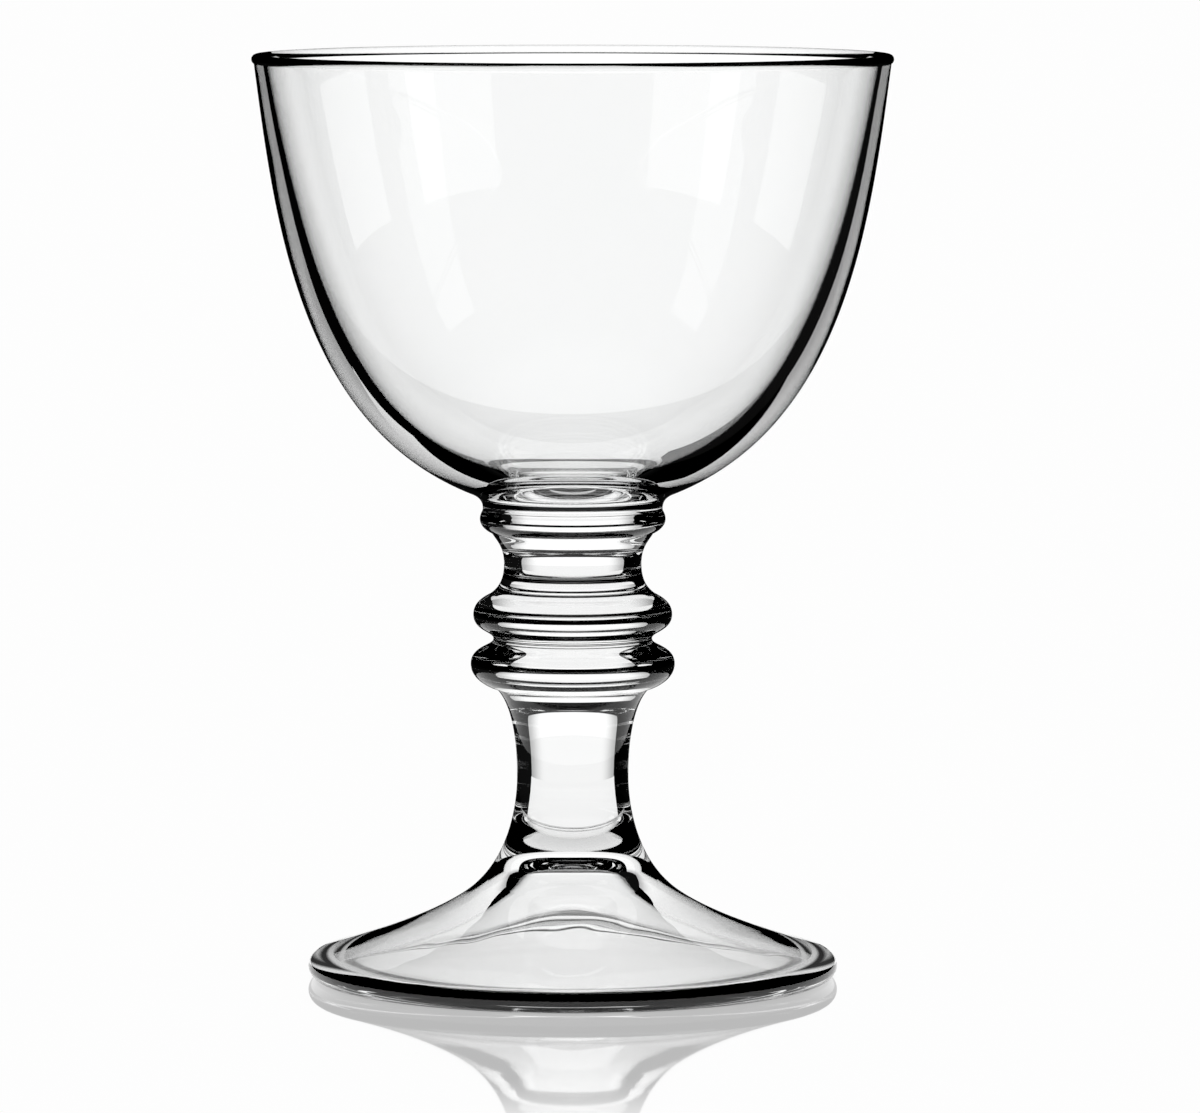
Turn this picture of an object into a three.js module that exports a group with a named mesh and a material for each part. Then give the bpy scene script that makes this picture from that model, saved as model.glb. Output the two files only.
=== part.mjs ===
// Irish coffee glass: a stemmed goblet of clear glass, built up from seven bits of hot-fused glass.
// Millimetres, +Z up. The origin is on the axis, in the plane that the foot rests on.
import * as THREE from 'three';

// Heights of the pieces, stacked from the foot up
const FOOT_HEIGHT = 20;
const SHANK_HEIGHT = 23;
const LOWER_KNOP_HEIGHT = 7.5;
const UPPER_KNOP_HEIGHT = 6.7;
const NECK_HEIGHT = 9;
const COLLAR_HEIGHT = 3.6;
const BOWL_HEIGHT = 67.2;

// Radii of the flat faces where two pieces are fused
const FOOT_TO_SHANK_RADIUS = 10.19;
const SHANK_TO_KNOP_RADIUS = 11.25;
const KNOP_TO_KNOP_RADIUS = 11.75;
const KNOP_TO_NECK_RADIUS = 12.1;
const NECK_TO_COLLAR_RADIUS = 11.95;
const COLLAR_TO_BOWL_RADIUS = 13.3;

// Leans of the outline at those faces, in degrees outwards from upright as the outline climbs
const FOOT_TO_SHANK_LEAN = -22.7;
const SHANK_TOP_LEAN = 33;
const LOWER_KNOP_BASE_LEAN = 72;
const KNOP_TO_NECK_LEAN = -52;
const NECK_TOP_LEAN = 29.5;
const COLLAR_BASE_LEAN = 56;

// Foot: its edge, the place where its trumpet flares out, and the hollow blown up under it
const FOOT_RADIUS = 39.3;
const FOOT_EDGE_THICKNESS = 3.6;
const FOOT_TOP_SLOPE = 16;
const FLARE_RADIUS = 14.25;
const FLARE_HEIGHT = 14;
const FLARE_LEAN = -47;
const REST_RING_WIDTH = 3;
const HOLLOW_EDGE_SLOPE = 21;
const HOLLOW_ROOF = 2.8;
const HOLLOW_DOME_RADIUS = 7.8;
const HOLLOW_DOME_HEIGHT = 3.4;
const HOLLOW_DOME_LEAN = -33;

// Stem: the widest or narrowest place of each piece, and its height above the piece's base
const SHANK_WAIST_RADIUS = 8.25;
const SHANK_WAIST_HEIGHT = 10;
const LOWER_KNOP_RADIUS = 15.12;
const LOWER_KNOP_BELLY_HEIGHT = 3.75;
const UPPER_KNOP_RADIUS = 14.73;
const UPPER_KNOP_BELLY_HEIGHT = 3.6;
const NECK_THROAT_RADIUS = 10.17;
const NECK_THROAT_HEIGHT = 4.4;
const COLLAR_RADIUS = 13.74;
const COLLAR_BELLY_HEIGHT = 2.1;

// Bowl
const RIM_RADIUS = 47.3;
const RIM_BEAD_RADIUS = 0.75;
const RIM_BEAD_START = -60;
const RIM_WALL = 1.75;
const RIM_LIP_HEIGHT = 1.4;
const WALL_LEAN_AT_RIM = 7.4;
const INSIDE_LEAN_AT_RIM = 9.1;
const BASE_FILLET_WIDTH = 1.86;
const BASE_FILLET_HEIGHT = 2.34;
const BOWL_BASE_LEAN = 68;
const BOWL_FLOOR_HEIGHT = 4;

// Fullness of a flank's end: the share of its chord over which the curve keeps to that end's lean
const SHARP = 0.02;
const GROOVE_FULLNESS = 0.25;
const KNOP_FULLNESS = 0.51;
const KNOP_TOP_FULLNESS = 0.14;
const THROAT_FULLNESS = 0.53;
const WAIST_TOP_FULLNESS = 0.79;
const WAIST_BASE_FULLNESS = 0.166;
const SHANK_BASE_FULLNESS = 0.439;
const TRUMPET_TOP_FULLNESS = 0.319;
const FLARE_FULLNESS = 0.354;
const FOOT_TOP_FULLNESS = 0.77;
const DOME_TOP_FULLNESS = 0.5;
const DOME_SIDE_FULLNESS = 0.35;
const HOLLOW_TOP_FULLNESS = 0.23;
const HOLLOW_EDGE_FULLNESS = 0.35;
const FILLET_FULLNESS = 0.42;
const BOWL_BASE_FULLNESS = 0.386;
const BOWL_WALL_FULLNESS = 0.323;
const INSIDE_BASE_FULLNESS = 0.388;
const INSIDE_WALL_FULLNESS = 0.466;

// Facets: sides of each turned form, and steps along the stretches of its outline
const TURN_SEGMENTS = 56;
const DOME_STEPS = 4;
const HOLLOW_STEPS = 7;
const EDGE_STEPS = 4;
const TRUMPET_STEPS = 9;
const FLARE_STEPS = 3;
const SHANK_STEPS = 5;
const KNOP_STEPS = 5;
const NECK_STEPS = 4;
const COLLAR_STEPS = 4;
const FILLET_STEPS = 4;
const WALL_STEPS = 16;
const BEAD_STEPS = 5;
const LIP_STEPS = 4;
const INSIDE_STEPS = 15;

const LEVEL = 90;
const STRAIGHT_ON = 180;
const SAME_PLACE = 1e-6;

const at = (radius, height) => new THREE.Vector2(radius, height);
const tip = (point, lean, fullness) => ({ point, lean, fullness });
const joint = (radius, lean, fullness) => ({ radius, lean, fullness });
const middle = (radius, height, below, above) => ({ point: at(radius, height), below, above });

// Direction of an outline that climbs at a lean from upright
function climb(lean) {
  const angle = THREE.MathUtils.degToRad(lean);
  return at(Math.sin(angle), Math.cos(angle));
}

// A smooth flank of a turned form, as points, between two tips that each have a lean and a fullness
function flank(start, end, steps) {
  const chord = start.point.distanceTo(end.point);
  const leaving = climb(start.lean).multiplyScalar(start.fullness * chord).add(start.point);
  const arriving = climb(end.lean).multiplyScalar(-end.fullness * chord).add(end.point);
  return new THREE.CubicBezierCurve(start.point, leaving, arriving, end.point).getPoints(steps);
}

// An arc of an ellipse, as points, between two angles in degrees from the outward direction
function arc(centre, width, height, fromAngle, toAngle, steps) {
  const from = THREE.MathUtils.degToRad(fromAngle);
  const to = THREE.MathUtils.degToRad(toAngle);
  return new THREE.EllipseCurve(centre.x, centre.y, width, height, from, to).getPoints(steps);
}

function glass() {
  return new THREE.MeshStandardMaterial({
    color: 0xeef3f2,
    roughness: 0.03,
    metalness: 0,
    transparent: true,
    opacity: 0.35,
  });
}

// One piece of glass, turned about the axis from its outline and set at its height
function turned(name, outline, baseHeight) {
  const distinct = outline.filter((point, i) => i === 0 || point.distanceTo(outline[i - 1]) > SAME_PLACE);
  const geometry = new THREE.LatheGeometry(distinct, TURN_SEGMENTS);
  geometry.rotateX(Math.PI / 2);
  const mesh = new THREE.Mesh(geometry, glass());
  mesh.name = name;
  mesh.position.z = baseHeight;
  return mesh;
}

// A solid stem piece: flat faces at both ends and a flank on each side of its widest or narrowest place
function stemPiece(name, baseHeight, height, base, waist, top, steps) {
  const outline = [
    at(0, 0),
    ...flank(tip(at(base.radius, 0), base.lean, base.fullness), tip(waist.point, 0, waist.below), steps),
    ...flank(tip(waist.point, 0, waist.above), tip(at(top.radius, height), top.lean, top.fullness), steps),
    at(0, height),
  ];
  return turned(name, outline, baseHeight);
}

// Heights at which the pieces meet
const shankBase = FOOT_HEIGHT;
const lowerKnopBase = shankBase + SHANK_HEIGHT;
const upperKnopBase = lowerKnopBase + LOWER_KNOP_HEIGHT;
const neckBase = upperKnopBase + UPPER_KNOP_HEIGHT;
const collarBase = neckBase + NECK_HEIGHT;
const bowlBase = collarBase + COLLAR_HEIGHT;

// The hollow under the foot, from its domed top down and out to the ring that the glass rests on
function hollowUnderFoot(restOuterRadius) {
  const domeTop = at(0, FOOT_HEIGHT - HOLLOW_ROOF);
  const domeEdge = at(HOLLOW_DOME_RADIUS, domeTop.y - HOLLOW_DOME_HEIGHT);
  const restInnerEdge = at(restOuterRadius - REST_RING_WIDTH, 0);
  const domeLean = HOLLOW_DOME_LEAN + STRAIGHT_ON;
  return [
    ...flank(tip(domeTop, LEVEL, DOME_TOP_FULLNESS), tip(domeEdge, domeLean, DOME_SIDE_FULLNESS), DOME_STEPS),
    ...flank(
      tip(domeEdge, domeLean, HOLLOW_TOP_FULLNESS),
      tip(restInnerEdge, LEVEL + HOLLOW_EDGE_SLOPE, HOLLOW_EDGE_FULLNESS),
      HOLLOW_STEPS,
    ),
  ];
}

// Foot: hollow trumpet with a flat ring to rest on and a rounded edge, closed at the top under the shank
function makeFoot() {
  const edgeRound = FOOT_EDGE_THICKNESS / 2;
  const edgeCentre = at(FOOT_RADIUS - edgeRound, edgeRound);
  const lowerEdge = arc(edgeCentre, edgeRound, edgeRound, -LEVEL, 0, EDGE_STEPS);
  const upperEdge = arc(edgeCentre, edgeRound, edgeRound, 0, LEVEL - FOOT_TOP_SLOPE, EDGE_STEPS);
  const flare = at(FLARE_RADIUS, FLARE_HEIGHT);
  const top = at(FOOT_TO_SHANK_RADIUS, FOOT_HEIGHT);
  const outline = [
    ...hollowUnderFoot(edgeCentre.x),
    ...lowerEdge,
    ...upperEdge,
    ...flank(
      tip(upperEdge.at(-1), FOOT_TOP_SLOPE - LEVEL, FOOT_TOP_FULLNESS),
      tip(flare, FLARE_LEAN, SHARP),
      TRUMPET_STEPS,
    ),
    ...flank(
      tip(flare, FLARE_LEAN, FLARE_FULLNESS),
      tip(top, FOOT_TO_SHANK_LEAN, TRUMPET_TOP_FULLNESS),
      FLARE_STEPS,
    ),
    at(0, FOOT_HEIGHT),
  ];
  return turned('foot', outline, 0);
}

// Bowl: fillet above the collar, wall, beaded rim, and the inside
function makeBowl() {
  const baseEdge = at(COLLAR_TO_BOWL_RADIUS, 0);
  const wallStart = at(COLLAR_TO_BOWL_RADIUS + BASE_FILLET_WIDTH, BASE_FILLET_HEIGHT);
  const beadCentre = at(RIM_RADIUS - RIM_BEAD_RADIUS, BOWL_HEIGHT - RIM_BEAD_RADIUS);
  const bead = arc(beadCentre, RIM_BEAD_RADIUS, RIM_BEAD_RADIUS, RIM_BEAD_START, LEVEL, BEAD_STEPS);
  const wallTop = bead[0];
  const lipCentre = at(beadCentre.x, BOWL_HEIGHT - RIM_LIP_HEIGHT);
  const lipWidth = RIM_WALL - (wallTop.x - beadCentre.x);
  const lip = arc(lipCentre, lipWidth, RIM_LIP_HEIGHT, LEVEL, STRAIGHT_ON - INSIDE_LEAN_AT_RIM, LIP_STEPS);
  const inside = flank(
    tip(at(0, BOWL_FLOOR_HEIGHT), LEVEL, INSIDE_BASE_FULLNESS),
    tip(lip.at(-1), INSIDE_LEAN_AT_RIM, INSIDE_WALL_FULLNESS),
    INSIDE_STEPS,
  );
  const outline = [
    at(0, 0),
    ...flank(tip(baseEdge, 0, FILLET_FULLNESS), tip(wallStart, BOWL_BASE_LEAN, FILLET_FULLNESS), FILLET_STEPS),
    ...flank(
      tip(wallStart, BOWL_BASE_LEAN, BOWL_BASE_FULLNESS),
      tip(wallTop, WALL_LEAN_AT_RIM, BOWL_WALL_FULLNESS),
      WALL_STEPS,
    ),
    ...bead,
    ...lip,
    ...inside.reverse(),
  ];
  return turned('bowl', outline, bowlBase);
}

function makeShank() {
  return stemPiece(
    'shank',
    shankBase,
    SHANK_HEIGHT,
    joint(FOOT_TO_SHANK_RADIUS, FOOT_TO_SHANK_LEAN, SHANK_BASE_FULLNESS),
    middle(SHANK_WAIST_RADIUS, SHANK_WAIST_HEIGHT, WAIST_BASE_FULLNESS, WAIST_TOP_FULLNESS),
    joint(SHANK_TO_KNOP_RADIUS, SHANK_TOP_LEAN, SHARP),
    SHANK_STEPS,
  );
}

function makeLowerKnop() {
  return stemPiece(
    'lower_knop',
    lowerKnopBase,
    LOWER_KNOP_HEIGHT,
    joint(SHANK_TO_KNOP_RADIUS, LOWER_KNOP_BASE_LEAN, SHARP),
    middle(LOWER_KNOP_RADIUS, LOWER_KNOP_BELLY_HEIGHT, KNOP_FULLNESS, KNOP_FULLNESS),
    joint(KNOP_TO_KNOP_RADIUS, 0, GROOVE_FULLNESS),
    KNOP_STEPS,
  );
}

function makeUpperKnop() {
  return stemPiece(
    'upper_knop',
    upperKnopBase,
    UPPER_KNOP_HEIGHT,
    joint(KNOP_TO_KNOP_RADIUS, 0, GROOVE_FULLNESS),
    middle(UPPER_KNOP_RADIUS, UPPER_KNOP_BELLY_HEIGHT, KNOP_FULLNESS, KNOP_FULLNESS),
    joint(KNOP_TO_NECK_RADIUS, KNOP_TO_NECK_LEAN, KNOP_TOP_FULLNESS),
    KNOP_STEPS,
  );
}

function makeNeck() {
  return stemPiece(
    'neck',
    neckBase,
    NECK_HEIGHT,
    joint(KNOP_TO_NECK_RADIUS, KNOP_TO_NECK_LEAN, GROOVE_FULLNESS),
    middle(NECK_THROAT_RADIUS, NECK_THROAT_HEIGHT, THROAT_FULLNESS, THROAT_FULLNESS),
    joint(NECK_TO_COLLAR_RADIUS, NECK_TOP_LEAN, GROOVE_FULLNESS),
    NECK_STEPS,
  );
}

function makeCollar() {
  return stemPiece(
    'collar',
    collarBase,
    COLLAR_HEIGHT,
    joint(NECK_TO_COLLAR_RADIUS, COLLAR_BASE_LEAN, SHARP),
    middle(COLLAR_RADIUS, COLLAR_BELLY_HEIGHT, KNOP_FULLNESS, KNOP_FULLNESS),
    joint(COLLAR_TO_BOWL_RADIUS, 0, GROOVE_FULLNESS),
    COLLAR_STEPS,
  );
}

const irishCoffeeGlass = new THREE.Group();
irishCoffeeGlass.add(
  makeFoot(),
  makeShank(),
  makeLowerKnop(),
  makeUpperKnop(),
  makeNeck(),
  makeCollar(),
  makeBowl(),
);

export default irishCoffeeGlass;
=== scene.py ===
"""Irish coffee glass: a stemmed goblet of clear fused glass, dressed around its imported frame.

Each bit of glass is turned again from its frame node's own sizes, as a fine smooth body of revolution.
"""
import math

import bpy
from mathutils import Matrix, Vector


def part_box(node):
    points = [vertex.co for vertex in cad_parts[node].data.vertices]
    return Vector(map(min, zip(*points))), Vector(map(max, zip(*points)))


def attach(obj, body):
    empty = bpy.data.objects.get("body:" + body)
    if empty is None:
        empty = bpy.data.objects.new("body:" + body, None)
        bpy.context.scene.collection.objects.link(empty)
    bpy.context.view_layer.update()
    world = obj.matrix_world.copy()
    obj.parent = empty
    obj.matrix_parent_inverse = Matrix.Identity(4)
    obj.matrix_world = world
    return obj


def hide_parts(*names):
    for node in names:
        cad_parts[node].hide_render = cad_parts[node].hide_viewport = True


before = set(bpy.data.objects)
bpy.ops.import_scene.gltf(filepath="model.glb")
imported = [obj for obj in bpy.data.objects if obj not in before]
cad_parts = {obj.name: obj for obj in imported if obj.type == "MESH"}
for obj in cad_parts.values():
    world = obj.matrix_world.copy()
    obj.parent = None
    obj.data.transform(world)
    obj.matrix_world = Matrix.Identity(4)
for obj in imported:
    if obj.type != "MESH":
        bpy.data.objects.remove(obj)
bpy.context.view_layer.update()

MM = 0.001

# Camera, from the photograph: places in metres, angles in degrees, lens and sensor in millimetres
CAMERA_DISTANCE = 1.1772
CAMERA_HEIGHT = 0.1717
CAMERA_SIDE = 0.0002
CAMERA_PITCH = 5.292
CAMERA_ROLL = -0.186
CAMERA_LENS = 239.5
CAMERA_SENSOR = 36
CAMERA_CLIP_START = 0.05
CAMERA_CLIP_END = 50

# Leans of the outline in degrees outwards from upright as it climbs, and fullness of each flank's end
LEVEL = 90
FOOT_TOP_SLOPE = 16
FLARE_LEAN = -47
FOOT_TO_SHANK_LEAN = -22.7
SHANK_TOP_LEAN = 33
LOWER_KNOP_BASE_LEAN = 72
KNOP_TO_NECK_LEAN = -52
NECK_TOP_LEAN = 29.5
COLLAR_BASE_LEAN = 56
WALL_LEAN_AT_RIM = 7.4
INSIDE_LEAN_AT_RIM = 9.1
BOWL_BASE_LEAN = 68
HOLLOW_EDGE_SLOPE = 21
HOLLOW_DOME_LEAN = 147
SHARP = 0.02
GROOVE_FULLNESS = 0.25
KNOP_FULLNESS = 0.51
KNOP_TOP_FULLNESS = 0.14
THROAT_FULLNESS = 0.53
WAIST_TOP_FULLNESS = 0.79
WAIST_BASE_FULLNESS = 0.166
SHANK_BASE_FULLNESS = 0.439
TRUMPET_TOP_FULLNESS = 0.319
FLARE_FULLNESS = 0.354
FOOT_TOP_FULLNESS = 0.77
BOWL_BASE_FULLNESS = 0.386
BOWL_WALL_FULLNESS = 0.323
DOME_TOP_FULLNESS = 0.5
DOME_SIDE_FULLNESS = 0.35
HOLLOW_TOP_FULLNESS = 0.23
HOLLOW_EDGE_FULLNESS = 0.35
FILLET_FULLNESS = 0.42
INSIDE_BASE_FULLNESS = 0.388
INSIDE_WALL_FULLNESS = 0.466

# Sizes of the foot's flare and hollow, the rim and the fillet under the bowl, in metres and degrees
FLARE_RADIUS = 14.25 * MM
FLARE_HEIGHT = 14 * MM
DOME_RADIUS = 7.8 * MM
DOME_HEIGHT = 3.4 * MM
RIM_BEAD_RADIUS = 0.75 * MM
RIM_BEAD_START = -60
RIM_WALL = 1.75 * MM
RIM_LIP_HEIGHT = 1.4 * MM
BASE_FILLET_WIDTH = 1.86 * MM
BASE_FILLET_HEIGHT = 2.34 * MM

# Fineness of the turned bodies, and steps of the studio's curves in degrees
TURN_SEGMENTS = 256
FLANK_STEPS = 28
WALL_STEPS = 72
ARC_STEPS = 16
AZIMUTH_STEP = 3
DISC_STEP = 10

# Distance in metres that counts as none, and decimals kept of a frame vertex and of an outline point
SAME_PLACE = 1e-5
VERTEX_DECIMALS = 6
OUTLINE_DECIMALS = 8

# Glass: refractive index, and size and depth of its ripple, tint cords and wiping marks
GLASS_IOR = 1.52
FOOT_RIPPLE_SIZE = 9 * MM
STEM_RIPPLE_SIZE = 6 * MM
BOWL_RIPPLE_SIZE = 20 * MM
FOOT_RIPPLE_DEPTH = 0.06 * MM
STEM_RIPPLE_DEPTH = 0.01 * MM
BOWL_RIPPLE_DEPTH = 0.04 * MM
RIPPLE_DETAIL = 1
CORD_SIZE = 30 * MM
CORD_DETAIL = 2
CORD_TINT = (0.985, 0.992, 0.99)
WIPE_SIZE = 12 * MM
WIPE_DETAIL = 4
WIPE_START = 0.55
WIPE_ROUGHNESS = 0.02

# Lit panel behind the glass. Studio sizes are in metres, azimuths in degrees from straight behind it
PANEL_DISTANCE = 0.187
PANEL_HALF_WIDTH = 0.132
PANEL_MIDDLE = 0.05
PANEL_TOP = 0.14
PANEL_BOWL_TOP = 0.27
PANEL_FLAT = 0.5
PANEL_EDGE_LIGHT = 0.5
PANEL_LOWER_LIGHT = 1
PANEL_LIGHT = 1.12

# Drum around the glass, and the lights and the dark flag that stand a gap inside it
DRUM_RADIUS = 0.24
DRUM_TOP = 0.35
DRUM_LIGHT = 1.1
LIGHT_GAP = 0.0024
SIDE_FROM = 79
SIDE_TO = 103
SIDE_TOP = 0.075
SIDE_LIGHT = 1.1
HIGH_FROM = 98
HIGH_TO = 120
HIGH_BASE = 0.15
HIGH_TOP = 0.3
HIGH_LIGHT = 1.1
FRONT_FROM = 120
FRONT_TO = 152
FRONT_TOP = 0.08
FRONT_LIGHT = 1.1
FLAG_FROM = 35
FLAG_TO = 75
FLAG_LIGHT = 0.005

# Cards on the floor, which start beside the foot, or further off behind the glass on the left
CARD_FROM = 36
CARD_TO = 180
CARD_MIDDLE = 12
CARD_INNER = 0.042
CARD_BACK_INNER = 0.14
CARD_OUTER = 0.24
CARD_HEIGHT = 0.0002
FLAG_CARD_HEIGHT = 0.0004

# Dome, dark far floor and soft box, which only reflections show
FAR_RADIUS = 0.8
FAR_TOP = 1.6
FAR_FLOOR_INNER = 0.155
SOFTBOX_RADIUS = 0.5
SOFTBOX_HEIGHT = 0.9
SOFTBOX_BACK = 0.2
SOFTBOX_LIGHT = 0.9

# White of the background, and floor: painted shade under the foot by radius, with painted dark rings, and
# gloss around a point before it
WORLD_LIGHT = 0.985
FLOOR_RADIUS = 3
UNDER_RANGE = 0.05
UNDER_SHADES = (
    (0, 0.95), (0.0318, 0.95),
    (0.0325, 0.03), (0.0335, 0.03),
    (0.0342, 0.9), (0.0352, 0.9),
    (0.0357, 0.05), (0.0364, 0.05),
    (0.0372, 0.8), (0.0393, WORLD_LIGHT),
)
FLOOR_GLOSS = 0.5
FLOOR_ROUGHNESS = 0.03
GLOSS_CENTRE = 0.055
GLOSS_FULL = 0.04
GLOSS_END = 0.1

# Most reflections, bounces and fused faces on a ray's path, past which it ends in black
MOST_REFLECTIONS = 2
MOST_BOUNCES = 48
MOST_SEAMS = 64

SIDES = {"left": -1, "right": 1}
GLASS = 0
JOINT = 1


def climb(lean):
    """Direction of an outline that climbs at a lean from upright."""
    angle = math.radians(lean)
    return Vector((math.sin(angle), math.cos(angle)))


def flank(start, start_lean, start_fullness, end, end_lean, end_fullness, steps=FLANK_STEPS):
    """A cubic stretch of outline, as (point, direction) pairs."""
    chord = (end - start).length
    leaving = start + climb(start_lean) * start_fullness * chord
    arriving = end - climb(end_lean) * end_fullness * chord
    stretch = []
    for i in range(steps + 1):
        t = i / steps
        s = 1 - t
        point = s**3 * start + 3 * s * s * t * leaving + 3 * s * t * t * arriving + t**3 * end
        along = (
            3 * s * s * (leaving - start)
            + 6 * s * t * (arriving - leaving)
            + 3 * t * t * (end - arriving)
        )
        stretch.append((point, along.normalized()))
    return stretch


def arc(centre, width, height, from_angle, to_angle, steps=ARC_STEPS):
    """A stretch of an ellipse, as (point, direction) pairs, between angles from straight outwards."""
    stretch = []
    for i in range(steps + 1):
        angle = math.radians(from_angle + (to_angle - from_angle) * i / steps)
        point = centre + Vector((width * math.cos(angle), height * math.sin(angle)))
        along = Vector((-width * math.sin(angle), height * math.cos(angle)))
        stretch.append((point, along.normalized()))
    return stretch


def straight(start, end):
    """A straight stretch, as (point, direction) pairs."""
    along = (end - start).normalized()
    return [(start, along), (end, along)]


def backwards(stretch):
    """The same stretch, walked the other way."""
    return [(point, -along) for point, along in reversed(stretch)]


def rings(node):
    """Radius and height of every ring of vertices of a frame node."""
    found = set()
    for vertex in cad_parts[node].data.vertices:
        x, y, z = vertex.co
        found.add((round(math.hypot(x, y), VERTEX_DECIMALS), round(z, VERTEX_DECIMALS)))
    return found


def turned(name, stretches, joints=()):
    """A closed body of revolution with exact normals. Stretches listed in joints are fused faces."""
    points, faces, face_normals, slots = [], [], [], []
    index = {}

    def ring(point):
        """Indices of the vertices of the ring through an outline point."""
        key = (round(point.x, OUTLINE_DECIMALS), round(point.y, OUTLINE_DECIMALS))
        if key not in index:
            count = 1 if point.x < SAME_PLACE else TURN_SEGMENTS
            first = len(points)
            for k in range(count):
                angle = math.tau * k / TURN_SEGMENTS
                points.append((point.x * math.sin(angle), -point.x * math.cos(angle), point.y))
            index[key] = [first + (k if count > 1 else 0) for k in range(TURN_SEGMENTS)]
        return index[key]

    def normal(along, k):
        """Outward normal, to the right of the outline's direction, at one of the turn's steps."""
        angle = math.tau * k / TURN_SEGMENTS
        return (along.y * math.sin(angle), -along.y * math.cos(angle), -along.x)

    for number, stretch in enumerate(stretches):
        for (p, p_along), (q, q_along) in zip(stretch, stretch[1:]):
            low, high = ring(p), ring(q)
            for k in range(TURN_SEGMENTS):
                n = (k + 1) % TURN_SEGMENTS
                corners = [
                    (low[k], p_along, k),
                    (low[n], p_along, n),
                    (high[n], q_along, n),
                    (high[k], q_along, k),
                ]
                if p.x < SAME_PLACE:
                    corners.pop(1)
                elif q.x < SAME_PLACE:
                    corners.pop(2)
                faces.append([vertex for vertex, _, _ in corners])
                face_normals.extend(normal(along, step) for _, along, step in corners)
                slots.append(JOINT if number in joints else GLASS)
    mesh = bpy.data.meshes.new(name)
    mesh.from_pydata(points, [], faces)
    mesh.polygons.foreach_set("material_index", slots)
    mesh.polygons.foreach_set("use_smooth", [True] * len(faces))
    mesh.normals_split_custom_set(face_normals)
    piece = bpy.data.objects.new(name, mesh)
    bpy.context.scene.collection.objects.link(piece)
    return piece


def stem_piece(node, base_lean, base_fullness, below, above, top_lean, top_fullness, waisted=False):
    """A stem piece between two fused faces, with flanks below and above its waist or belly."""
    found = rings(node)
    low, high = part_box(node)
    base = Vector((max(r for r, z in found if abs(z - low.z) < SAME_PLACE), low.z))
    top = Vector((max(r for r, z in found if abs(z - high.z) < SAME_PLACE), high.z))
    outer = [ring for ring in found if ring[0] > SAME_PLACE]
    middle = Vector(min(outer) if waisted else max(outer))
    return turned(
        node + "_glass",
        [
            straight(Vector((0, low.z)), base),
            flank(base, base_lean, base_fullness, middle, 0, below),
            flank(middle, 0, above, top, top_lean, top_fullness),
            straight(top, Vector((0, high.z))),
        ],
        joints=(0, 3),
    )


def make_foot():
    """Foot: domed hollow, ring to rest on, rounded edge, broad top and trumpet."""
    found = rings("foot")
    _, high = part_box("foot")
    on_floor = sorted(r for r, z in found if abs(z) < SAME_PLACE)
    dome_top = Vector((0, min(z for r, z in found if r < SAME_PLACE)))
    dome_side = Vector((DOME_RADIUS, dome_top.y - DOME_HEIGHT))
    hollow_edge = Vector((on_floor[0], 0))
    rest_edge = Vector((on_floor[-1], 0))
    edge_round = max(r for r, z in found) - on_floor[-1]
    edge_centre = Vector((on_floor[-1], edge_round))
    edge = arc(edge_centre, edge_round, edge_round, -LEVEL, LEVEL - FOOT_TOP_SLOPE)
    flare = Vector((FLARE_RADIUS, FLARE_HEIGHT))
    joint = Vector((max(r for r, z in found if abs(z - high.z) < SAME_PLACE), high.z))
    return turned(
        "foot_glass",
        [
            flank(dome_top, LEVEL, DOME_TOP_FULLNESS, dome_side, HOLLOW_DOME_LEAN, DOME_SIDE_FULLNESS),
            flank(
                dome_side, HOLLOW_DOME_LEAN, HOLLOW_TOP_FULLNESS,
                hollow_edge, LEVEL + HOLLOW_EDGE_SLOPE, HOLLOW_EDGE_FULLNESS, WALL_STEPS,
            ),
            straight(hollow_edge, rest_edge),
            edge,
            flank(
                edge[-1][0], FOOT_TOP_SLOPE - LEVEL, FOOT_TOP_FULLNESS,
                flare, FLARE_LEAN, SHARP, WALL_STEPS,
            ),
            flank(flare, FLARE_LEAN, FLARE_FULLNESS, joint, FOOT_TO_SHANK_LEAN, TRUMPET_TOP_FULLNESS),
            straight(joint, Vector((0, high.z))),
        ],
        joints=(6,),
    )


def make_bowl():
    """Bowl: fillet over the collar, wall, beaded rim and inside."""
    found = rings("bowl")
    low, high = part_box("bowl")
    base = Vector((max(r for r, z in found if abs(z - low.z) < SAME_PLACE), low.z))
    inside_floor = Vector((0, max(z for r, z in found if r < SAME_PLACE)))
    wall_start = base + Vector((BASE_FILLET_WIDTH, BASE_FILLET_HEIGHT))
    bead_centre = Vector((max(r for r, z in found) - RIM_BEAD_RADIUS, high.z - RIM_BEAD_RADIUS))
    bead = arc(bead_centre, RIM_BEAD_RADIUS, RIM_BEAD_RADIUS, RIM_BEAD_START, LEVEL)
    wall_top = bead[0][0]
    lip_centre = Vector((bead_centre.x, high.z - RIM_LIP_HEIGHT))
    lip_width = RIM_WALL - (wall_top.x - bead_centre.x)
    lip = arc(lip_centre, lip_width, RIM_LIP_HEIGHT, LEVEL, 2 * LEVEL - INSIDE_LEAN_AT_RIM)
    inside = flank(
        inside_floor, LEVEL, INSIDE_BASE_FULLNESS,
        lip[-1][0], INSIDE_LEAN_AT_RIM, INSIDE_WALL_FULLNESS, WALL_STEPS,
    )
    return turned(
        "bowl_glass",
        [
            straight(Vector((0, low.z)), base),
            flank(base, 0, FILLET_FULLNESS, wall_start, BOWL_BASE_LEAN, FILLET_FULLNESS),
            flank(
                wall_start, BOWL_BASE_LEAN, BOWL_BASE_FULLNESS,
                wall_top, WALL_LEAN_AT_RIM, BOWL_WALL_FULLNESS, WALL_STEPS,
            ),
            bead,
            lip,
            backwards(inside),
        ],
        joints=(0,),
    )


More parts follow.
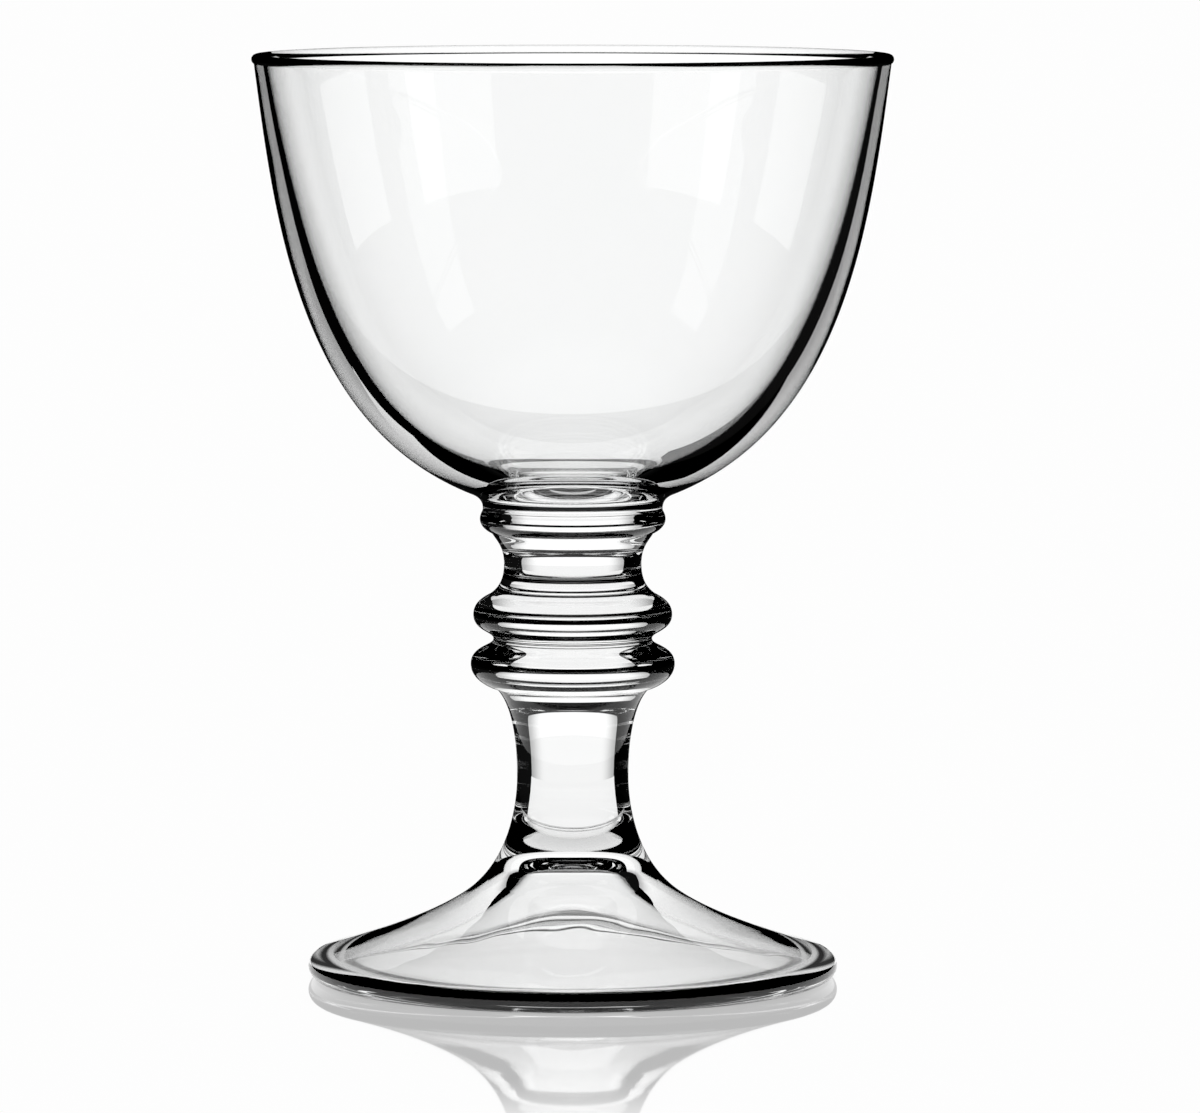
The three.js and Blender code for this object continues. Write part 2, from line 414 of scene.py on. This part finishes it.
def new_material(name):
    """An empty node material and its output node."""
    material = bpy.data.materials.new(name)
    material.use_nodes = True
    material.node_tree.nodes.clear()
    return material, material.node_tree, material.node_tree.nodes.new("ShaderNodeOutputMaterial")


def noise(tree, size, detail):
    """Soft noise with features of a size in metres."""
    place = tree.nodes.new("ShaderNodeTexCoord")
    texture = tree.nodes.new("ShaderNodeTexNoise")
    texture.inputs["Scale"].default_value = 1 / size
    texture.inputs["Detail"].default_value = detail
    tree.links.new(place.outputs["Object"], texture.inputs["Vector"])
    return texture.outputs["Fac"]


def clear_glass(name, ripple_size, ripple_depth):
    """Clear glass with a faint ripple from the making, faint cords of tint and wiping marks."""
    material, tree, output = new_material(name)
    shader = tree.nodes.new("ShaderNodeBsdfPrincipled")
    shader.inputs["IOR"].default_value = GLASS_IOR
    shader.inputs["Transmission Weight"].default_value = 1
    tint = tree.nodes.new("ShaderNodeValToRGB")
    tint.color_ramp.elements[0].color = (*CORD_TINT, 1)
    tint.color_ramp.elements[1].color = (1, 1, 1, 1)
    wiped = tree.nodes.new("ShaderNodeMapRange")
    wiped.inputs["From Min"].default_value = WIPE_START
    wiped.inputs["To Max"].default_value = WIPE_ROUGHNESS
    ripple = tree.nodes.new("ShaderNodeBump")
    ripple.inputs["Distance"].default_value = ripple_depth
    tree.links.new(noise(tree, CORD_SIZE, CORD_DETAIL), tint.inputs["Fac"])
    tree.links.new(noise(tree, WIPE_SIZE, WIPE_DETAIL), wiped.inputs["Value"])
    tree.links.new(noise(tree, ripple_size, RIPPLE_DETAIL), ripple.inputs["Height"])
    tree.links.new(tint.outputs["Color"], shader.inputs["Base Color"])
    tree.links.new(wiped.outputs["Result"], shader.inputs["Roughness"])
    tree.links.new(ripple.outputs["Normal"], shader.inputs["Normal"])
    tree.links.new(shader.outputs["BSDF"], output.inputs["Surface"])
    return material


def fused_face(name):
    """Face inside the glass where two pieces are fused: light goes straight through it."""
    material, tree, output = new_material(name)
    shader = tree.nodes.new("ShaderNodeBsdfTransparent")
    tree.links.new(shader.outputs["BSDF"], output.inputs["Surface"])
    return material


def dress(piece, node, glass, joint_face):
    """Gives a piece its glass, its fused faces and its place in the frame."""
    piece.data.materials.append(glass)
    piece.data.materials.append(joint_face)
    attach(piece, "root")
    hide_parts(node)


def make_glass():
    """All the bits of glass, from the foot up. Returns the foot and stem pieces, and the bowl."""
    foot_glass = clear_glass("foot_pressed_glass", FOOT_RIPPLE_SIZE, FOOT_RIPPLE_DEPTH)
    stem_glass = clear_glass("stem_solid_glass", STEM_RIPPLE_SIZE, STEM_RIPPLE_DEPTH)
    bowl_glass = clear_glass("bowl_blown_glass", BOWL_RIPPLE_SIZE, BOWL_RIPPLE_DEPTH)
    joint_face = fused_face("fused_joint")
    foot = make_foot()
    dress(foot, "foot", foot_glass, joint_face)
    shank = stem_piece(
        "shank", FOOT_TO_SHANK_LEAN, SHANK_BASE_FULLNESS, WAIST_BASE_FULLNESS,
        WAIST_TOP_FULLNESS, SHANK_TOP_LEAN, SHARP, waisted=True,
    )
    lower_knop = stem_piece(
        "lower_knop", LOWER_KNOP_BASE_LEAN, SHARP, KNOP_FULLNESS, KNOP_FULLNESS, 0, GROOVE_FULLNESS,
    )
    upper_knop = stem_piece(
        "upper_knop", 0, GROOVE_FULLNESS, KNOP_FULLNESS,
        KNOP_FULLNESS, KNOP_TO_NECK_LEAN, KNOP_TOP_FULLNESS,
    )
    neck = stem_piece(
        "neck", KNOP_TO_NECK_LEAN, GROOVE_FULLNESS, THROAT_FULLNESS,
        THROAT_FULLNESS, NECK_TOP_LEAN, GROOVE_FULLNESS, waisted=True,
    )
    collar = stem_piece(
        "collar", COLLAR_BASE_LEAN, SHARP, KNOP_FULLNESS, KNOP_FULLNESS, 0, GROOVE_FULLNESS,
    )
    stem = {
        "shank": shank,
        "lower_knop": lower_knop,
        "upper_knop": upper_knop,
        "neck": neck,
        "collar": collar,
    }
    for node, piece in stem.items():
        dress(piece, node, stem_glass, joint_face)
    bowl = make_bowl()
    dress(bowl, "bowl", bowl_glass, joint_face)
    return [foot, *stem.values()], bowl


def glow(name, strength):
    """A plain even light."""
    material, tree, output = new_material(name)
    shader = tree.nodes.new("ShaderNodeEmission")
    shader.inputs["Strength"].default_value = strength
    tree.links.new(shader.outputs["Emission"], output.inputs["Surface"])
    return material


def straight_glow(name, strength):
    """A light for rays that only went through glass. It is black to those that were reflected."""
    material, tree, output = new_material(name)
    path = tree.nodes.new("ShaderNodeLightPath")
    only_through = tree.nodes.new("ShaderNodeMath")
    only_through.operation = "COMPARE"
    dimmed = tree.nodes.new("ShaderNodeMath")
    dimmed.operation = "MULTIPLY"
    dimmed.inputs[1].default_value = strength
    shader = tree.nodes.new("ShaderNodeEmission")
    tree.links.new(path.outputs["Transmission Depth"], only_through.inputs[0])
    tree.links.new(path.outputs["Ray Depth"], only_through.inputs[1])
    tree.links.new(only_through.outputs[0], dimmed.inputs[0])
    tree.links.new(dimmed.outputs[0], shader.inputs["Strength"])
    tree.links.new(shader.outputs["Emission"], output.inputs["Surface"])
    return material


def panel_glow(name, strength):
    """A lit panel that is brightest in its middle."""
    material, tree, output = new_material(name)
    place = tree.nodes.new("ShaderNodeTexCoord")
    scale = tree.nodes.new("ShaderNodeVectorMath")
    scale.operation = "MULTIPLY"
    scale.inputs[1].default_value = (1 / PANEL_HALF_WIDTH, 0, 0)
    length = tree.nodes.new("ShaderNodeVectorMath")
    length.operation = "LENGTH"
    ramp = tree.nodes.new("ShaderNodeValToRGB")
    ramp.color_ramp.interpolation = "EASE"
    stops = ramp.color_ramp.elements
    stops[0].position = PANEL_FLAT
    stops[0].color = (1, 1, 1, 1)
    stops[1].position = 1
    stops[1].color = (PANEL_EDGE_LIGHT, PANEL_EDGE_LIGHT, PANEL_EDGE_LIGHT, 1)
    shader = tree.nodes.new("ShaderNodeEmission")
    shader.inputs["Strength"].default_value = strength
    tree.links.new(place.outputs["Object"], scale.inputs[0])
    tree.links.new(scale.outputs["Vector"], length.inputs[0])
    tree.links.new(length.outputs["Value"], ramp.inputs["Fac"])
    tree.links.new(ramp.outputs["Color"], shader.inputs["Color"])
    tree.links.new(shader.outputs["Emission"], output.inputs["Surface"])
    return material


def stage_mesh(name, points, faces, material, seen=False, reflected=True, refracted=True):
    """A staged mesh. Unseen ones light the glass but don't show in the picture."""
    mesh = bpy.data.meshes.new(name)
    mesh.from_pydata(points, [], faces)
    mesh.materials.append(material)
    thing = bpy.data.objects.new(name, mesh)
    bpy.context.scene.collection.objects.link(thing)
    thing.visible_camera = seen
    thing.visible_glossy = reflected
    thing.visible_transmission = refracted
    return thing


def around(azimuth, radius, height):
    """Point at an azimuth in degrees from straight behind the glass, growing towards +X."""
    angle = math.radians(azimuth)
    return (radius * math.sin(angle), radius * math.cos(angle), height)


def sheet(name, rows, material, **visibility):
    """A staged sheet between pairs of points."""
    points = [point for row in rows for point in row]
    faces = [(2 * i, 2 * i + 2, 2 * i + 3, 2 * i + 1) for i in range(len(rows) - 1)]
    return stage_mesh(name, points, faces, material, **visibility)


def azimuths(start, end):
    """Azimuths in even steps from start to end."""
    steps = max(2, round(abs(end - start) / AZIMUTH_STEP))
    return [start + (end - start) * i / steps for i in range(steps + 1)]


def curtain(name, start, end, low, high, material, radius=DRUM_RADIUS, **visibility):
    """An upright curved sheet around the axis, between two azimuths."""
    rows = [(around(angle, radius, low), around(angle, radius, high)) for angle in azimuths(start, end)]
    return sheet(name, rows, material, **visibility)


def ring_sector(name, start, end, inner, outer, material, height=CARD_HEIGHT, **visibility):
    """Part of a flat ring just over the floor, between two azimuths."""
    rows = [(around(angle, inner, height), around(angle, outer, height)) for angle in azimuths(start, end)]
    return sheet(name, rows, material, **visibility)


def lit_only(light, pieces):
    """Makes a staged light shine on some pieces alone. The others see it black."""
    group = bpy.data.collections.new("lit_by_" + light.name)
    for piece in pieces:
        group.objects.link(piece)
    light.light_linking.receiver_collection = group


def panel(name, low, high, strength):
    """A stretch of the lit panel behind the glass."""
    half = PANEL_HALF_WIDTH
    corners = [((-half, 0, low), (-half, 0, high)), ((half, 0, low), (half, 0, high))]
    stretch = sheet(name, corners, panel_glow(name, strength), reflected=False)
    stretch.location.y = PANEL_DISTANCE
    return stretch


def disc(name, radius, height, material, **visibility):
    """A staged level disc on the axis."""
    edge = [around(azimuth, radius, height) for azimuth in range(0, 360, DISC_STEP)]
    return stage_mesh(name, edge, [tuple(range(len(edge)))], material, **visibility)


def make_panel(bowl):
    """Lit panel behind the glass. Its top stretch lights only the bowl."""
    panel("lower_panel", 0, PANEL_MIDDLE, PANEL_LOWER_LIGHT)
    panel("upper_panel", PANEL_MIDDLE, PANEL_TOP, PANEL_LIGHT)
    lit_only(panel("bowl_panel", PANEL_TOP, PANEL_BOWL_TOP, PANEL_LIGHT), [bowl])


def make_drum(bowl, pale, black):
    """Drum and lid that only the bowl sees lit, with lights and a dark flag inside them."""
    lit_only(curtain("drum", 0, 360, 0, DRUM_TOP, pale, reflected=False), [bowl])
    lit_only(disc("lid", DRUM_RADIUS, DRUM_TOP, pale, reflected=False), [bowl])
    lights = {
        "side": (SIDE_FROM, SIDE_TO, 0, SIDE_TOP, SIDE_LIGHT),
        "high": (HIGH_FROM, HIGH_TO, HIGH_BASE, HIGH_TOP, HIGH_LIGHT),
        "front": (FRONT_FROM, FRONT_TO, 0, FRONT_TOP, FRONT_LIGHT),
    }
    inside = DRUM_RADIUS - LIGHT_GAP
    for kind, (start, end, low, high, strength) in lights.items():
        light = glow(kind + "_light", strength)
        for side, way in SIDES.items():
            name = f"{side}_{kind}"
            curtain(name, way * start, way * end, low, high, light, inside, reflected=False)
    curtain("flag", FLAG_FROM, FLAG_TO, 0, DRUM_TOP, black, inside, reflected=False)


def make_cards(bowl, pale, black):
    """Cards on the floor: pale for the bowl, white behind the glass and dark at the flag."""
    white = glow("back_white", WORLD_LIGHT)
    outer = CARD_OUTER
    for side, way in SIDES.items():
        name = side + "_card"
        card = ring_sector(name, way * CARD_FROM, way * CARD_TO, CARD_INNER, outer, pale, reflected=False)
        lit_only(card, [bowl])
    ring_sector(
        "flag_card", CARD_FROM, FLAG_TO, CARD_INNER, outer, black, FLAG_CARD_HEIGHT, reflected=False,
    )
    ring_sector("middle_card", -CARD_MIDDLE, CARD_MIDDLE, CARD_INNER, outer, white, reflected=False)
    ring_sector("left_back_card", -CARD_FROM, -CARD_MIDDLE, CARD_BACK_INNER, outer, white, reflected=False)


def make_softbox(solid_pieces, black):
    """Soft box that the foot and the stem reflect, and a dark far floor around the glass."""
    light = glow("softbox", SOFTBOX_LIGHT)
    softbox = disc("softbox", SOFTBOX_RADIUS, SOFTBOX_HEIGHT, light, refracted=False)
    softbox.location.y = SOFTBOX_BACK
    lit_only(softbox, solid_pieces)
    ring_sector("far_floor", 0, 360, FAR_FLOOR_INNER, FAR_RADIUS, black, refracted=False)


def make_studio(solid_pieces, bowl):
    """Everything around the glass that it shows and the camera doesn't."""
    pale = straight_glow("curtain_pale", DRUM_LIGHT)
    black = glow("flag_black", FLAG_LIGHT)
    make_panel(bowl)
    make_drum(bowl, pale, black)
    make_cards(bowl, pale, black)
    make_softbox(solid_pieces, black)


def make_dome(floor):
    """Far dome that only reflections show: white to the floor and black to the glass."""
    white = glow("dome_white", WORLD_LIGHT)
    lit_only(curtain("dome_wall", 0, 360, 0, FAR_TOP, white, FAR_RADIUS, refracted=False), [floor])
    lit_only(disc("dome_top", FAR_RADIUS, FAR_TOP, white, refracted=False), [floor])


def distance_from(tree, centre):
    """Distance of a surface point from a point of its object."""
    place = tree.nodes.new("ShaderNodeTexCoord")
    length = tree.nodes.new("ShaderNodeVectorMath")
    length.operation = "DISTANCE"
    length.inputs[1].default_value = centre
    tree.links.new(place.outputs["Object"], length.inputs[0])
    return length.outputs["Value"]


def under_foot_shade(tree):
    """Painted shade of the floor under the foot, by distance from the axis: a painted shadow with dark
    rings.
    """
    scale = tree.nodes.new("ShaderNodeMapRange")
    scale.inputs["From Max"].default_value = UNDER_RANGE
    ramp = tree.nodes.new("ShaderNodeValToRGB")
    stops = ramp.color_ramp.elements
    while len(stops) < len(UNDER_SHADES):
        stops.new(1)
    for stop, (radius, shade) in zip(stops, UNDER_SHADES):
        stop.position = radius / UNDER_RANGE
        stop.color = (shade, shade, shade, 1)
    tree.links.new(distance_from(tree, (0, 0, 0)), scale.inputs["Value"])
    tree.links.new(scale.outputs["Result"], ramp.inputs["Fac"])
    return ramp.outputs["Color"]


def gloss_fade(tree):
    """Gloss of the floor around the front of the foot, none further off."""
    ramp = tree.nodes.new("ShaderNodeMapRange")
    ramp.interpolation_type = "SMOOTHSTEP"
    ramp.inputs["From Min"].default_value = GLOSS_FULL
    ramp.inputs["From Max"].default_value = GLOSS_END
    ramp.inputs["To Min"].default_value = FLOOR_GLOSS
    ramp.inputs["To Max"].default_value = 0
    tree.links.new(distance_from(tree, (0, -GLOSS_CENTRE, 0)), ramp.inputs["Value"])
    return ramp.outputs["Result"]


def make_floor(solid_pieces):
    """Pale floor with painted shade under the foot, glossy around its front. It lights the foot and the
    stem.
    """
    material, tree, output = new_material("floor_white")
    shade = tree.nodes.new("ShaderNodeEmission")
    gloss = tree.nodes.new("ShaderNodeBsdfGlossy")
    gloss.inputs["Color"].default_value = (1, 1, 1, 1)
    gloss.inputs["Roughness"].default_value = FLOOR_ROUGHNESS
    mix = tree.nodes.new("ShaderNodeMixShader")
    tree.links.new(under_foot_shade(tree), shade.inputs["Color"])
    tree.links.new(gloss_fade(tree), mix.inputs["Fac"])
    tree.links.new(shade.outputs["Emission"], mix.inputs[1])
    tree.links.new(gloss.outputs["BSDF"], mix.inputs[2])
    tree.links.new(mix.outputs["Shader"], output.inputs["Surface"])
    rim = [around(azimuth, FLOOR_RADIUS, 0) for azimuth in range(360, 0, -AZIMUTH_STEP)]
    floor = stage_mesh("floor", rim, [tuple(range(len(rim)))], material, seen=True)
    lit_only(floor, solid_pieces)
    return floor


def make_world():
    """White studio light."""
    world = bpy.data.worlds.new("studio")
    bpy.context.scene.world = world
    world.use_nodes = True
    background = world.node_tree.nodes["Background"]
    background.inputs["Color"].default_value = (1, 1, 1, 1)
    background.inputs["Strength"].default_value = WORLD_LIGHT


def make_camera():
    """Camera of the photograph."""
    data = bpy.data.cameras.new("camera")
    data.lens = CAMERA_LENS
    data.sensor_width = CAMERA_SENSOR
    data.clip_start = CAMERA_CLIP_START
    data.clip_end = CAMERA_CLIP_END
    camera = bpy.data.objects.new("camera", data)
    camera.location = (CAMERA_SIDE, -CAMERA_DISTANCE, CAMERA_HEIGHT)
    camera.rotation_mode = "YXZ"
    camera.rotation_euler = (math.radians(LEVEL - CAMERA_PITCH), math.radians(CAMERA_ROLL), 0)
    bpy.context.scene.collection.objects.link(camera)
    bpy.context.scene.camera = camera


make_camera()
solid_pieces, bowl = make_glass()
make_studio(solid_pieces, bowl)
make_dome(make_floor(solid_pieces))
make_world()

scene = bpy.context.scene
scene.view_settings.view_transform = "Standard"
scene.cycles.blur_glossy = 0
scene.cycles.max_bounces = MOST_BOUNCES
scene.cycles.transmission_bounces = MOST_BOUNCES
scene.cycles.glossy_bounces = MOST_REFLECTIONS
scene.cycles.transparent_max_bounces = MOST_SEAMS
